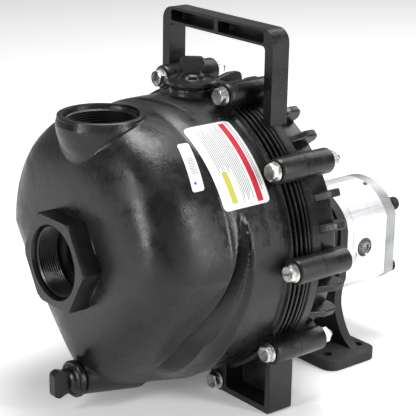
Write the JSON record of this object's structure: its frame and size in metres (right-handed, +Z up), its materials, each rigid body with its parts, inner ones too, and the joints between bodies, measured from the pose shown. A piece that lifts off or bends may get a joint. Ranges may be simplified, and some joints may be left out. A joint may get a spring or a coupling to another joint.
{
  "type": "self-priming transfer pump with hydraulic gear motor",
  "caption": "Black moulded self-priming centrifugal pump with threaded suction and discharge ports, carry handle, box feet and a hydraulic gear motor on a foot bracket.",
  "frame": {"origin": "centre of the footprint on the floor", "axes": "+Z up, the suction port faces -Y, the motor is at +Y, the shaft runs along Y"},
  "size_m": [0.293, 0.3722, 0.324],
  "materials": {
    "black_plastic": "satin moulded",
    "black_paint": "matte cast",
    "zinc": "zinc plated",
    "aluminium": "machined",
    "grey_casting": "fine cast",
    "black_steel": "black oxide",
    "bright_steel": "ground",
    "rubber": "moulded",
    "carbon": "lapped",
    "ceramic": "lapped",
    "bronze": "machined"
  },
  "bodies": {
    "pump": {"pump_body": "black_plastic", "back_cover": "black_plastic", "carry_handle": "black_plastic", "volute_insert": "black_plastic", "body_bolt_01": "zinc", "body_bolt_02": "zinc", "body_bolt_03": "zinc", "body_bolt_04": "zinc", "body_bolt_05": "zinc", "body_bolt_06": "zinc", "body_bolt_07": "zinc", "body_bolt_08": "zinc", "body_bolt_09": "zinc", "body_bolt_10": "zinc", "body_nut_01": "zinc", "body_nut_02": "zinc", "body_nut_03": "zinc", "body_nut_04": "zinc", "body_nut_05": "zinc", "body_nut_06": "zinc", "body_nut_07": "zinc", "body_nut_08": "zinc", "body_nut_09": "zinc", "body_nut_10": "zinc", "body_seal_ring": "rubber", "motor_shaft_seal": "rubber", "flapper_pin": "bright_steel", "seal_seat": "ceramic", "motor_screw_1": "black_steel", "motor_screw_2": "black_steel", "motor_screw_3": "black_steel", "motor_screw_4": "black_steel", "motor_front_cover": "aluminium", "motor_housing": "aluminium", "motor_rear_cover": "grey_casting", "front_bearing_block": "bronze", "rear_bearing_block": "bronze", "foot_bracket": "black_paint"},
    "rotor": {"drive_gear": "bright_steel", "pump_shaft": "bright_steel", "impeller": "black_plastic", "seal_head": "carbon", "seal_spring": "bright_steel", "shaft_coupling": "black_steel"},
    "driven": {"driven_gear": "bright_steel"},
    "flapper": {"check_flapper": "rubber"},
    "fill_cap": {"fill_plug": "black_plastic", "fill_plug_seal": "rubber"},
    "drain_cap": {"drain_plug": "black_plastic", "drain_plug_seal": "rubber"}
  },
  "joints": [
    {"name": "shaft_spin", "type": "hinge", "parent": "pump", "child": "rotor", "pos_m": [0, 0.14385, 0.112], "axis": [0, 1, 0], "continuous": true},
    {"name": "driven_spin", "type": "hinge", "parent": "pump", "child": "driven", "pos_m": [0, 0.14385, 0.081], "axis": [0, 1, 0], "continuous": true},
    {"name": "flapper_swing", "type": "hinge", "parent": "pump", "child": "flapper", "pos_m": [0, -0.14815, 0.166], "axis": [1, 0, 0], "range_deg": [0, 50]},
    {"name": "fill_plug_lift", "type": "slide", "parent": "pump", "child": "fill_cap", "axis": [0, 0, 1], "range_m": [0, 0.04]},
    {"name": "drain_plug_pull", "type": "slide", "parent": "pump", "child": "drain_cap", "axis": [0, -1, 0], "range_m": [0, 0.04]}
  ],
  "couplings": [
    {"joint": "driven_spin", "follows": "shaft_spin", "ratio": -1}
  ]
}
